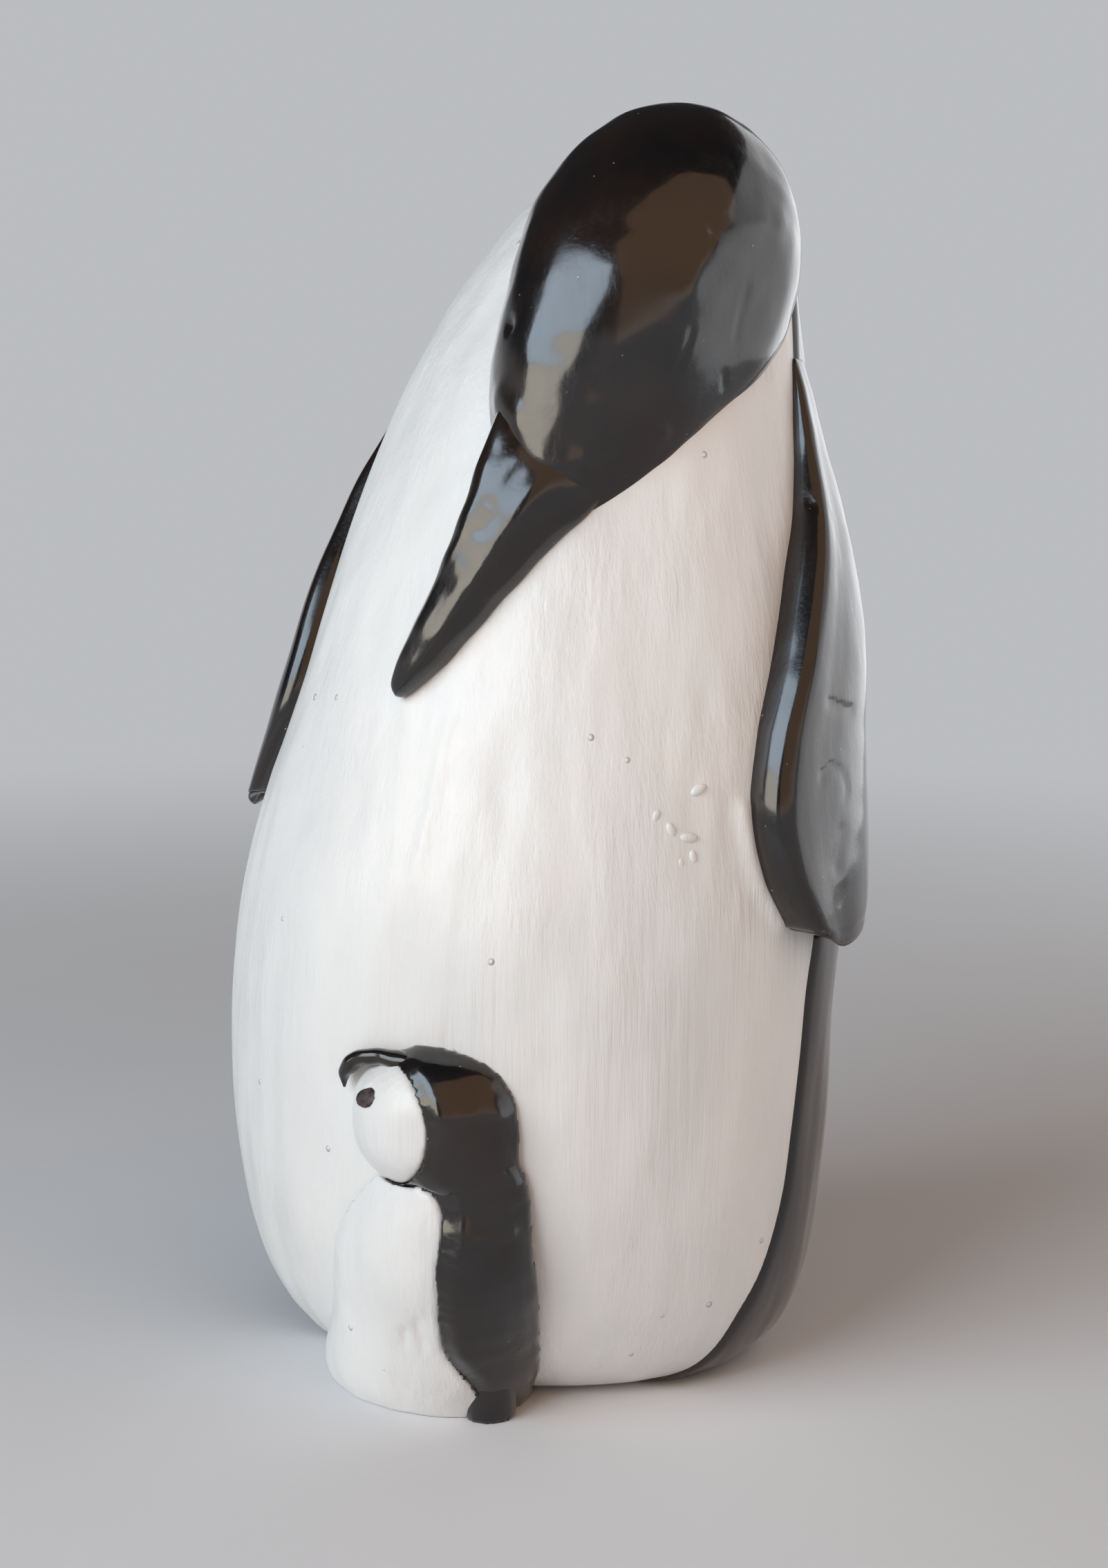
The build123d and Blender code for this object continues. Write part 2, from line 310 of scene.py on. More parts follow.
def makeEyePaint():
    look = eyePaint
    material, tree, place, shader = paintBase("eyePaint")
    blot = grain(tree, place, **look["blot"])
    tone = mixColour(tree, ramp(tree, blot, *look["blotRange"]), look["rim"], look["heart"])
    tree.links.new(tone, shader.inputs["Base Color"])
    tree.links.new(relief(tree, [(blot, look["depth"])]), shader.inputs["Normal"])
    setSockets(shader, look["coat"])
    return material


paints = {"white_paint": makeWhite(), "black_paint": makeBlack(), "eye_paint": makeEyePaint()}
print("paints mixed")


def newPiece(name, bm):
    mesh = bpy.data.meshes.new(name)
    bm.to_mesh(mesh)
    bm.free()
    piece = bpy.data.objects.new(name, mesh)
    scene.collection.objects.link(piece)
    return piece


# Turns live modifiers into the mesh
def settle(piece):
    bpy.context.view_layer.update()
    graph = bpy.context.evaluated_depsgraph_get()
    done = bpy.data.meshes.new_from_object(piece.evaluated_get(graph))
    piece.modifiers.clear()
    piece.data = done
    piece.data.name = piece.name


# Rounds off the form, together with the modifiers that are on the piece already
def soften(piece, rounds):
    soft = piece.modifiers.new("soften", "SMOOTH")
    soft.factor = 0.5
    soft.iterations = rounds
    settle(piece)


# Points in millimetres
def readPoints(piece):
    flat = np.empty(len(piece.data.vertices) * 3, np.float64)
    piece.data.vertices.foreach_get("co", flat)
    return flat.reshape(-1, 3) / mm


def readNormals(piece):
    flat = np.empty(len(piece.data.vertices) * 3, np.float64)
    piece.data.vertices.foreach_get("normal", flat)
    return flat.reshape(-1, 3)


def writePoints(piece, points):
    piece.data.vertices.foreach_set("co", (points * mm).ravel())
    piece.data.update()


# Clay lumps: waves of many directions added up, each a little longer than a size in millimetres
clayWaves = {"count": 28, "stretch": (1.1, 2.2), "spread": 0.35}


def clayNoise(points, size, seed):
    picker = np.random.default_rng(seed)
    total = np.zeros(len(points))
    for wave in range(clayWaves["count"]):
        way = picker.normal(size=3)
        way *= 2 * math.pi / size / picker.uniform(*clayWaves["stretch"]) / np.linalg.norm(way)
        total += np.sin(points @ way + picker.uniform(0, 2 * math.pi))
    return total * clayWaves["spread"] / math.sqrt(clayWaves["count"] / 2)


# Waves: size, height, seed and how many times their height is squeezed along Z
def addLumps(piece, waves):
    points = readPoints(piece)
    normals = readNormals(piece)
    push = np.zeros(len(points))
    for size, height, seed, stretch in waves:
        push += clayNoise(points * (1, 1, stretch), size, seed) * height
    writePoints(piece, points + normals * push[:, None])


# Smooth step from 0 to 1
def easeStep(value, low, high):
    t = np.clip((value - low) / (high - low), 0, 1)
    return t * t * (3 - 2 * t)


# Nearest distance from points to a path of points, and how far along it
def alongPath(points, path):
    best = np.full(len(points), 1e9)
    where = np.zeros(len(points))
    count = len(path) - 1
    for index in range(count):
        start = np.array(path[index], float)
        span = np.array(path[index + 1], float) - start
        t = np.clip((points - start) @ span / (span @ span), 0, 1)
        away = np.linalg.norm(points - start - t[:, None] * span, axis=1)
        near = away < best
        best[near] = away[near]
        where[near] = (index + t[near]) / count
    return best, where


# Nearest point of the skin to a place
def snap(points, place):
    return points[np.argmin(np.linalg.norm(points - np.array(place, float), axis=1))]


# Ridge, for a positive height, or groove along a path on the skin, fading out at both ends
def drawLine(piece, path, width, height, fade=0.15):
    points = readPoints(piece)
    away, where = alongPath(points, [snap(points, place) for place in path])
    ends = easeStep(where, 0, fade) * easeStep(1 - where, 0, fade)
    push = height * np.exp(-((away / width) ** 2)) * ends
    writePoints(piece, points + readNormals(piece) * push[:, None])


# Bump or dent round a place on the skin
def pressDab(piece, place, radius, height):
    points = readPoints(piece)
    away = np.linalg.norm(points - snap(points, place), axis=1)
    push = height * np.exp(-((away / radius) ** 2))
    writePoints(piece, points + readNormals(piece) * push[:, None])


# Facet: what lies beyond a plane is pressed towards it
def pressFlat(piece, place, facing, keep, soft):
    points = readPoints(piece)
    facing = np.array(Vector(facing).normalized())
    over = (points - np.array(place, float)) @ facing
    eased = np.where(over > 0, over * over / (over + soft), 0)
    writePoints(piece, points - (eased * (1 - keep))[:, None] * facing)


def finishPiece(piece, paint, *replaced):
    piece.data.materials.clear()
    piece.data.materials.append(paints[paint])
    piece.data.shade_smooth()
    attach(piece, "root")
    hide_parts(*replaced)
    print(piece.name, "has", sum(len(p.vertices) - 2 for p in piece.data.polygons), "triangles")


# Closed form from rings: each place is the matrix that carries a unit circle to its ring
def ringForm(name, places, segments):
    bm = bmesh.new()
    ring = bmesh.ops.create_circle(bm, cap_ends=True, cap_tris=True, segments=segments, radius=1)["verts"]
    ring = [v for v in ring if v.co.length > 0.5]
    bmesh.ops.transform(bm, matrix=places[0], verts=bm.verts)
    edges = [e for e in bm.edges if e.verts[0] in ring and e.verts[1] in ring]
    for before, place in zip(places, places[1:]):
        made = bmesh.ops.extrude_edge_only(bm, edges=edges)["geom"]
        ring = [g for g in made if isinstance(g, bmesh.types.BMVert)]
        rim = set(ring)
        edges = [g for g in made if isinstance(g, bmesh.types.BMEdge) and all(v in rim for v in g.verts)]
        bmesh.ops.transform(bm, matrix=place @ before.inverted(), verts=ring)
    cap = bmesh.ops.contextual_create(bm, geom=edges)["faces"]
    bmesh.ops.poke(bm, faces=cap)
    bmesh.ops.recalc_face_normals(bm, faces=bm.faces)
    bmesh.ops.scale(bm, vec=(mm, mm, mm), verts=bm.verts)
    return newPiece(name, bm)


# Closed form whose rings come from placeOf(row, angles): a tube is drawn up, then bent into place
def sweepForm(name, rows, segments, placeOf):
    bm = bmesh.new()
    bmesh.ops.create_circle(bm, cap_ends=True, cap_tris=True, segments=segments, radius=1)
    edges = [e for e in bm.edges if all(v.co.length > 0.5 for v in e.verts)]
    for row in range(1, rows):
        made = bmesh.ops.extrude_edge_only(bm, edges=edges)["geom"]
        rim = {g for g in made if isinstance(g, bmesh.types.BMVert)}
        edges = [g for g in made if isinstance(g, bmesh.types.BMEdge) and all(v in rim for v in g.verts)]
        bmesh.ops.translate(bm, vec=(0, 0, 1), verts=list(rim))
    cap = bmesh.ops.contextual_create(bm, geom=edges)["faces"]
    bmesh.ops.poke(bm, faces=cap)
    angles = np.linspace(0, 2 * math.pi, segments, endpoint=False)
    places = [placeOf(row, angles) for row in range(rows)]
    for vert in bm.verts:
        ring = places[round(vert.co.z)]
        if math.hypot(vert.co.x, vert.co.y) < 0.5:
            vert.co = Vector(ring.mean(0)) * mm
        else:
            turn = math.atan2(vert.co.y, vert.co.x) % (2 * math.pi)
            vert.co = Vector(ring[round(turn / (2 * math.pi) * segments) % segments]) * mm
    bmesh.ops.recalc_face_normals(bm, faces=bm.faces)
    return newPiece(name, bm)


fineSteps = 3000
tiny = 1e-6
weldWithin = 0.002
smallestRing = 0.01


# Rows of a table, drawn through as one smooth line and spaced evenly along it
def smoothRows(table, count, weights):
    rows = np.array(table, float)
    steps = np.sqrt(np.sum((np.diff(rows, axis=0) * weights) ** 2, axis=1)) ** 0.5
    knots = np.concatenate([[0], np.cumsum(steps)])
    slopes = np.gradient(rows, knots, axis=0)
    fine = np.linspace(0, knots[-1], fineSteps)
    place = np.clip(np.searchsorted(knots, fine, side="right") - 1, 0, len(knots) - 2)
    span = (knots[place + 1] - knots[place])[:, None]
    t = ((fine - knots[place])[:, None]) / span
    line = (
        (2 * t**3 - 3 * t**2 + 1) * rows[place]
        + (t**3 - 2 * t**2 + t) * span * slopes[place]
        + (3 * t**2 - 2 * t**3) * rows[place + 1]
        + (t**3 - t**2) * span * slopes[place + 1]
    )
    strides = np.sqrt(np.sum((np.diff(line, axis=0) * weights) ** 2, axis=1))
    run = np.concatenate([[0], np.cumsum(strides)])
    wanted = np.linspace(0, run[-1], count)
    return np.stack([np.interp(wanted, run, line[:, k]) for k in range(rows.shape[1])], 1)


# Copy of a CAD node with an even skin, softened and grown back by what the softening took off
def clayCopy(nodeName, name, voxel, rounds, grow):
    bm = bmesh.new()
    bm.from_mesh(nodes[nodeName].data)
    bmesh.ops.remove_doubles(bm, verts=bm.verts, dist=weldWithin * mm)
    piece = newPiece(name, bm)
    skin = piece.modifiers.new("evenSkin", "REMESH")
    skin.mode = "VOXEL"
    skin.voxel_size = voxel * mm
    soften(piece, rounds)
    writePoints(piece, readPoints(piece) + readNormals(piece) * grow)
    return piece


# Mother's body: level, half size and lean of each row
body = {
    "height": 104.8,
    "width": 55.1,
    "depth": 48.5,
    "sideLean": 9.4,
    "backLean": 10.0,
    "rows": [
        (0.000, 0.600, 0.000), (0.009, 0.725, 0.000), (0.028, 0.810, -0.010), (0.072, 0.893, -0.035),
        (0.153, 0.957, -0.075), (0.277, 0.988, -0.060), (0.391, 0.987, 0.022), (0.496, 0.927, 0.128),
        (0.592, 0.853, 0.235), (0.682, 0.779, 0.330), (0.763, 0.704, 0.415), (0.830, 0.632, 0.515),
        (0.889, 0.555, 0.640), (0.935, 0.480, 0.760), (0.968, 0.404, 0.842), (0.988, 0.300, 0.890),
        (0.998, 0.170, 0.900), (1.000, 0.057, 0.905),
    ],
    "rings": 96,
    "baseRings": 8,
    "segments": 192,
    "lumps": [(14, 0.34, 1, 0.7), (5, 0.16, 2, 0.5), (2.2, 0.09, 3, 0.22)],
    "evenFoot": (0.2, 2.0),
}
bodyLine = smoothRows(body["rows"], body["rings"], (body["height"], body["width"] / 2, body["sideLean"]))


# Body's size at a height, and the sideways and backward place of its middle
def bodyAt(z):
    level = np.clip(np.asarray(z, float) / body["height"], 0, 1)
    size = np.interp(level, bodyLine[:, 0], bodyLine[:, 1])
    lean = np.interp(level, bodyLine[:, 0], bodyLine[:, 2])
    return size, body["sideLean"] * lean, body["backLean"] * lean


# Place on the body at a height and an angle, zero to the penguin's left and -90 in front
def onBody(z, angle, out=0.0):
    size, side, back = bodyAt(z)
    turn = math.radians(angle)
    across = size * body["width"] / 2
    through = size * body["depth"] / 2
    away = Vector((math.cos(turn) / across, math.sin(turn) / through, 0)).normalized()
    return Vector((side + across * math.cos(turn), back + through * math.sin(turn), z)) + away * out


# Lumpy skin over the whole body, with rings of growing size that close the flat base
def bodySkin(name, segments):
    places = []
    baseSize = body["rows"][0][1]
    base = [(0, max(baseSize * ring / body["baseRings"], smallestRing), 0) for ring in range(body["baseRings"])]
    for level, size, lean in base + [tuple(row) for row in bodyLine]:
        middle = (body["sideLean"] * lean, body["backLean"] * lean, level * body["height"])
        girth = Matrix.Diagonal((size * body["width"] / 2, size * body["depth"] / 2, 1, 1))
        places.append(Matrix.Translation(middle) @ girth)
    piece = ringForm(name, places, segments)
    fineness = piece.modifiers.new("fineness", "SUBSURF")
    fineness.levels = fineness.render_levels = 1
    settle(piece)
    points = readPoints(piece)
    addLumps(piece, body["lumps"])
    lumpy = readPoints(piece)
    hold = easeStep(points[:, 2], *body["evenFoot"])[:, None]
    writePoints(piece, points + (lumpy - points) * hold)
    return piece


# Back mantle: front edge as place from front to back and height, both seen from the side
# It stands proud of the body behind the edge, dives under the skin in front of it and ends there
mantle = {
    "edge": [
        (-0.225, 0.000), (-0.175, 0.075), (-0.122, 0.165), (-0.105, 0.270), (-0.088, 0.380),
        (-0.045, 0.550), (0.022, 0.700), (0.090, 0.830), (0.135, 0.930), (0.140, 1.000),
    ],
    "edgeSteps": 200,
    "proud": 0.35,
    "hidden": -0.9,
    "slope": 1.1,
    "endsAfter": 2.5,
    "thickness": 1.4,
    "wander": {"size": 5.0, "seed": 9},
    "wanderHeight": 0.25,
    "evenFoot": (0.0, 0.8),
    "segments": 152,
}
mantleEdge = [(place * body["depth"], level * body["height"]) for place, level in mantle["edge"]]
mantleLine = smoothRows(mantleEdge, mantle["edgeSteps"], (1, 1))


# How far a point lies behind the mantle's front edge
def behindEdge(points):
    return points[:, 1] - np.interp(points[:, 2], mantleLine[:, 1], mantleLine[:, 0])


# Dried drips with their radius and height, a pushed-up edge beside the flipper and swells of the white breast
breast = {
    "drips": [
        ((20.0, -13.6, 53.0), 0.55, 0.40), ((18.4, -15.7, 49.9), 0.50, 0.42), ((19.6, -14.8, 49.2), 0.60, 0.50),
        ((20.0, -14.8, 47.6), 0.45, 0.35), ((17.3, -16.3, 51.1), 0.40, 0.25), ((19.2, -15.6, 47.1), 0.40, 0.30),
        ((-7.2, -23.6, 31.9), 0.34, 0.25), ((-4.7, -24.0, 31.9), 0.30, 0.22), ((-2.4, -24.2, 32.4), 0.36, 0.25),
        ((0.1, -24.3, 32.3), 0.30, 0.22), ((-6.1, -23.8, 32.6), 0.26, 0.18), ((-1.0, -24.2, 33.0), 0.28, 0.18),
    ],
    "dripShape": (0.75, 1.35, 0.7),
    "dripSpin": (9, 5),
    "dripFineness": 3,
    "lip": {
        "path": [
            (22.5, -10.9, 52.3), (22.8, -10.9, 50.6), (23.4, -10.8, 47.4),
            (24.2, -10.0, 44.7), (25.3, -8.6, 42.0), (25.8, -7.8, 40.2),
        ],
        "width": 0.8,
        "height": 0.45,
    },
    "strokeEdge": {
        "path": [(0.4, -18.6, 60.5), (-0.6, -21.0, 52.4), (-1.6, -22.9, 44.0)],
        "width": 0.6,
        "height": 0.16,
    },
    "swells": [
        ((13.2, -21.0, 36.8), 4.0, 0.35), ((17.5, -18.0, 40.0), 3.0, -0.25),
        ((6.0, -23.0, 40.0), 5.0, 0.25), ((20.5, -14.0, 60.0), 4.0, -0.3),
    ],
    "underMantle": (1.0, 3.0),
    "underMantleDepth": 0.6,
    "evenFoot": (0.3, 1.5),
}


def addDrips(piece, drips):
    bm = bmesh.new()
    bm.from_mesh(piece.data)
    for place, radius, height in drips:
        x, y, z = place
        size, side, back = bodyAt(z)
        away = Vector(((x - side) / body["width"] ** 2, (y - back) / body["depth"] ** 2, 0)).normalized()
        turned = Matrix.Translation(Vector(place) * mm) @ away.to_track_quat("Z", "Y").to_matrix().to_4x4()
        spin = Matrix.Rotation(x * breast["dripSpin"][0] + z * breast["dripSpin"][1], 4, "Z")
        narrow, tall, flat = breast["dripShape"]
        blob = Matrix.Diagonal((radius * narrow * mm, radius * tall * mm, height * flat * mm, 1))
        fineness = breast["dripFineness"]
        bmesh.ops.create_icosphere(bm, subdivisions=fineness, radius=1, matrix=turned @ spin @ blob)
    bm.to_mesh(piece.data)
    bm.free()


def makeTorso():
    piece = bodySkin("torsoSkin", body["segments"])
    points = readPoints(piece)
    sunk = easeStep(behindEdge(points), *breast["underMantle"]) * breast["underMantleDepth"]
    sunk = sunk * easeStep(points[:, 2], *breast["evenFoot"])
    writePoints(piece, points - readNormals(piece) * sunk[:, None])
    drawLine(piece, **breast["lip"])
    drawLine(piece, **breast["strokeEdge"])
    for place, radius, height in breast["swells"]:
        pressDab(piece, place, radius, height)
    addDrips(piece, breast["drips"])
    finishPiece(piece, "white_paint", "torso")


def makeMantle():
    piece = bodySkin("mantleSheet", mantle["segments"])
    points = readPoints(piece)
    behind = behindEdge(points) + clayNoise(points, **mantle["wander"]) * mantle["wanderHeight"]
    reach = mantle["slope"]
    push = mantle["hidden"] + (mantle["proud"] - mantle["hidden"]) * easeStep(behind, -reach, reach)
    push = push * easeStep(points[:, 2], *mantle["evenFoot"])
    writePoints(piece, points + readNormals(piece) * push[:, None])
    bm = bmesh.new()
    bm.from_mesh(piece.data)
    bm.verts.ensure_lookup_table()
    gone = [bm.verts[index] for index in np.nonzero(behind < -mantle["endsAfter"] * reach)[0]]
    bmesh.ops.delete(bm, geom=gone, context="VERTS")
    bm.to_mesh(piece.data)
    bm.free()
    thick = piece.modifiers.new("thickness", "SOLIDIFY")
    thick.thickness = mantle["thickness"] * mm
    thick.offset = -1
    settle(piece)
    finishPiece(piece, "black_paint", "back_mantle")


makeTorso()
makeMantle()
print("body and mantle done")

# Hood: an egg along its own axis from crown to beak, pressed flat in places
# Eye and dabs: place, radius and height; creases and ridges: path, width and height
hood = {
    "level": 0.857,
    "side": 0.278,
    "front": 0.586,
    "length": 42.6,
    "width": 22.0,
    "thickness": 24.4,
    "nod": 58.0,
    "turn": -25.7,
    "taper": 0.27,
    "fullness": 1.9,
    "fineness": {"u_segments": 208, "v_segments": 160},
    "lumps": [(9, 0.20, 4, 1), (4, 0.10, 5, 1), (1.8, 0.035, 6, 1)],
    "flats": [
        {"place": (21.3, -4.6, 94.5), "facing": (0.966, -0.259, 0.02), "keep": 0.06, "soft": 0.50},
        {"place": (17.15, -9.9, 85.6), "facing": (0.90, -0.43, -0.07), "keep": 0.10, "soft": 0.6},
        {"place": (0.44, -6.83, 92.71), "facing": (-0.885, -0.379, 0.269), "keep": 0.25, "soft": 0.5},
    ],
    "eye": ((3.0, -12.9, 90.7), 0.50, -0.40),
    "creases": [
        ([(18.1, -10.0, 90.9), (17.4, -10.6, 88.6), (16.8, -11.1, 86.3)], 0.35, -0.08),
        ([(21.4, -4.5, 94.5), (20.9, -5.4, 91.4), (20.3, -5.8, 88.5)], 0.30, -0.07),
        ([(19.8, -6.4, 87.1), (19.4, -6.0, 85.2)], 0.30, -0.10),
        ([(18.2, -8.4, 99.0), (18.5, -8.4, 98.1), (18.7, -8.5, 97.3)], 0.25, 0.12),
        (
            [
                (1.8, -12.6, 86.0), (2.6, -14.1, 84.1), (4.5, -15.3, 83.1), (6.0, -15.9, 80.0),
                (7.5, -15.8, 78.8), (10.1, -15.0, 79.2), (11.4, -14.3, 79.2),
            ],
            1.5,
            0.30,
        ),
    ],
    "dabs": [((15.7, -10.9, 81.7), 0.7, 0.22)],
}


def hoodFrame():
    size, side, back = bodyAt(hood["level"] * body["height"])
    centre = Vector((
        side + hood["side"] * size * body["width"] / 2,
        back - hood["front"] * size * body["depth"] / 2,
        hood["level"] * body["height"],
    ))
    nod = math.radians(hood["nod"])
    turn = math.radians(hood["turn"])
    forward = Vector((math.cos(nod) * math.sin(turn), -math.cos(nod) * math.cos(turn), -math.sin(nod)))
    crosswise = forward.cross(Vector((0, 0, 1))).normalized()
    upward = forward.cross(crosswise)
    return Matrix((
        (crosswise.x, upward.x, forward.x, centre.x),
        (crosswise.y, upward.y, forward.y, centre.y),
        (crosswise.z, upward.z, forward.z, centre.z),
        (0, 0, 0, 1),
    ))


def makeHood():
    bm = bmesh.new()
    bmesh.ops.create_uvsphere(bm, radius=1, **hood["fineness"])
    for vert in bm.verts:
        turn = math.acos(max(-1, min(1, -vert.co.z)))
        flat = math.hypot(vert.co.x, vert.co.y)
        along = -math.copysign(abs(math.cos(turn)) ** (2 / hood["fullness"]), math.cos(turn))
        radius = math.sin(turn) ** (2 / hood["fullness"]) * (1 - hood["taper"] * along)
        wide = radius / flat if flat > tiny else 0
        vert.co = (
            vert.co.x * wide * hood["width"] / 2,
            vert.co.y * wide * hood["thickness"] / 2,
            along * hood["length"] / 2,
        )
    bmesh.ops.transform(bm, matrix=hoodFrame(), verts=bm.verts)
    bmesh.ops.recalc_face_normals(bm, faces=bm.faces)
    bmesh.ops.scale(bm, vec=(mm, mm, mm), verts=bm.verts)
    piece = newPiece("hoodLump", bm)
    for flat in hood["flats"]:
        pressFlat(piece, **flat)
    addLumps(piece, hood["lumps"])
    pressDab(piece, *hood["eye"])
    for path, width, height in hood["creases"]:
        drawLine(piece, path, width, height)
    for place, radius, height in hood["dabs"]:
        pressDab(piece, place, radius, height)
    finishPiece(piece, "black_paint", "hood")


makeHood()
print("hood done")

# Beak: a roll from under the hood down onto the breast, flat on top with a slope on the penguin's left
# Rows: height and angle on the body, reach to the right and left of the ridge, how far the ridge stands off
# Outline: across and out, as shares of the reach and the standing off
beak = {
    "rows": [
        (82.6, -77.2, 5.8, 5.5, 1.9), (81.7, -78.1, 6.1, 5.7, 2.4), (79.8, -80.1, 6.0, 5.4, 3.1),
        (77.0, -83.4, 5.5, 4.6, 3.6), (74.2, -86.7, 4.6, 3.5, 3.6), (71.4, -90.1, 4.05, 2.8, 3.4),
        (68.6, -93.6, 3.5, 2.2, 3.0), (65.6, -97.4, 2.9, 1.6, 2.6), (63.2, -100.8, 2.4, 1.15, 2.2),
        (61.5, -103.6, 1.75, 0.8, 1.8), (60.5, -105.5, 1.1, 0.55, 1.4), (60.1, -106.3, 0.4, 0.3, 0.8),
    ],
    "outline": [
        (-0.80, -0.35), (-0.96, -0.10), (-1.0, 0.06), (-0.95, 0.22), (-0.80, 0.46), (-0.58, 0.68),
        (-0.34, 0.86), (-0.14, 0.98), (0.0, 1.0), (0.2, 0.99), (0.5, 0.94), (0.78, 0.84),
        (0.95, 0.62), (1.0, 0.32), (0.97, 0.02), (0.86, -0.35), (0.0, -0.5),
    ],
    "weights": (1, 0.35, 1, 1, 1),
    "count": 80,
    "segments": 80,
    "softening": 4,
    "lumps": [(5, 0.14, 11, 1), (2, 0.07, 12, 1)],
    "pits": [((3.2, -20.6, 76.2), 0.30, -0.10), ((2.6, -20.4, 74.6), 0.6, 0.10)],
}


def makeBeak():
    rows = smoothRows(beak["rows"], beak["count"], beak["weights"])
    line = [onBody(row[0], row[1]) for row in rows]
    above = [onBody(row[0], row[1], 1.0) for row in rows]
    outline = np.array(beak["outline"] + beak["outline"][:1])
    run = np.concatenate([[0], np.cumsum(np.linalg.norm(np.diff(outline, axis=0), axis=1))])

    def ringOf(row, turns):
        forward = (line[min(row + 1, len(rows) - 1)] - line[max(row - 1, 0)]).normalized()
        outward = (above[row] - line[row]).normalized()
        crosswise = forward.cross(outward).normalized()
        right, left, rise = rows[row][2:]
        where = turns / (2 * math.pi) * run[-1]
        across = np.interp(where, run, outline[:, 0])
        out = np.interp(where, run, outline[:, 1]) * rise
        across = np.where(across > 0, across * right, across * left)
        return np.array(line[row]) + np.outer(across, crosswise) + np.outer(out, outward)

    piece = sweepForm("beakRoll", len(rows), beak["segments"], ringOf)
    soften(piece, beak["softening"])
    addLumps(piece, beak["lumps"])
    for place, radius, height in beak["pits"]:
        pressDab(piece, place, radius, height)
    finishPiece(piece, "black_paint", "beak")


makeBeak()

# Flippers: a slab with a rolled front edge, cut off below with a lip round a shallow hollow
# Rows: level, front and back angle on the body, thickness share
# Outline: from front to back, how far it stands off; grooves: path, width and height
flippers = {
    "rows": [
        (0.372, -18.5, 10, 0.84), (0.380, -20, 11, 0.86), (0.392, -21.5, 12, 0.86),
        (0.432, -26.5, 14, 0.86), (0.480, -30, 16, 0.86), (0.535, -29, 18, 0.88),
        (0.600, -24.5, 20, 1.00), (0.660, -18.5, 21, 0.90), (0.715, -12, 21.5, 0.68),
        (0.765, -7, 20, 0.40), (0.815, -4, 15, 0.16), (0.838, -3, 12, 0.02),
    ],
    "outline": [
        (0, 0.25), (0.012, 0.60), (0.035, 0.86), (0.07, 0.98), (0.11, 1.0), (0.17, 0.96), (0.25, 0.89),
        (0.33, 0.86), (0.5, 0.86), (0.7, 0.84), (0.85, 0.76), (0.94, 0.58), (1, 0.2),
    ],
    "weights": (100, 0.4, 0.4, 3),
    "count": 110,
    "segments": 112,
    "softening": 1,
    "top": 0.838,
    "sink": 1.0,
    "core": 0.45,
    "endShrink": (0.45, 0.64, 0.90, 0.98, 1.0, 0.975),
    "endLift": (1.3, 1.0, -0.05, -0.15, 0.2, 0.75),
    "endReach": (-0.08, 0.40),
    "endArch": {"height": 2.0, "lowest": 0.4, "rows": 9},
    "pinch": {"lift": 1.1, "rows": 4},
}
flipperSides = {
    "left_flipper": {
        "name": "leftFlipper",
        "side": 1,
        "thickness": 3.9,
        "length": 1.0,
        "lumps": [(18, 0.26, 13, 0.8), (6, 0.08, 14, 0.7), (2.5, 0.025, 27, 1)],
        "grooves": [
            (
                [
                    (28.3, -5.2, 60.0), (28.6, -4.0, 59.2), (29.0, -2.8, 58.9),
                    (29.4, -1.2, 58.7), (29.6, 0.4, 58.3),
                ],
                0.40,
                -0.13,
            ),
            (
                [
                    (28.8, -6.8, 52.7), (28.8, -6.3, 53.9), (29.3, -4.6, 54.1),
                    (29.8, -2.9, 53.3), (30.0, -2.6, 52.0), (29.9, -3.6, 50.7),
                ],
                0.35,
                -0.13,
            ),
            ([(29.7, -5.9, 45.0), (29.8, -5.2, 46.8), (29.9, -4.2, 48.3), (29.9, -4.0, 48.6)], 0.95, -0.13),
            ([(30.2, -5.7, 42.6), (30.3, -4.9, 43.6), (30.3, -4.4, 44.6)], 0.45, -0.06),
            ([(24.8, -0.2, 76.6), (25.2, 0.5, 75.3), (25.6, 1.6, 74.0)], 0.30, -0.15),
        ],
    },
    "right_flipper": {
        "name": "rightFlipper",
        "side": -1,
        "thickness": 2.0,
        "length": 0.83,
        "lumps": [(12, 0.2, 15, 1), (5, 0.08, 16, 1)],
        "grooves": [],
    },
}


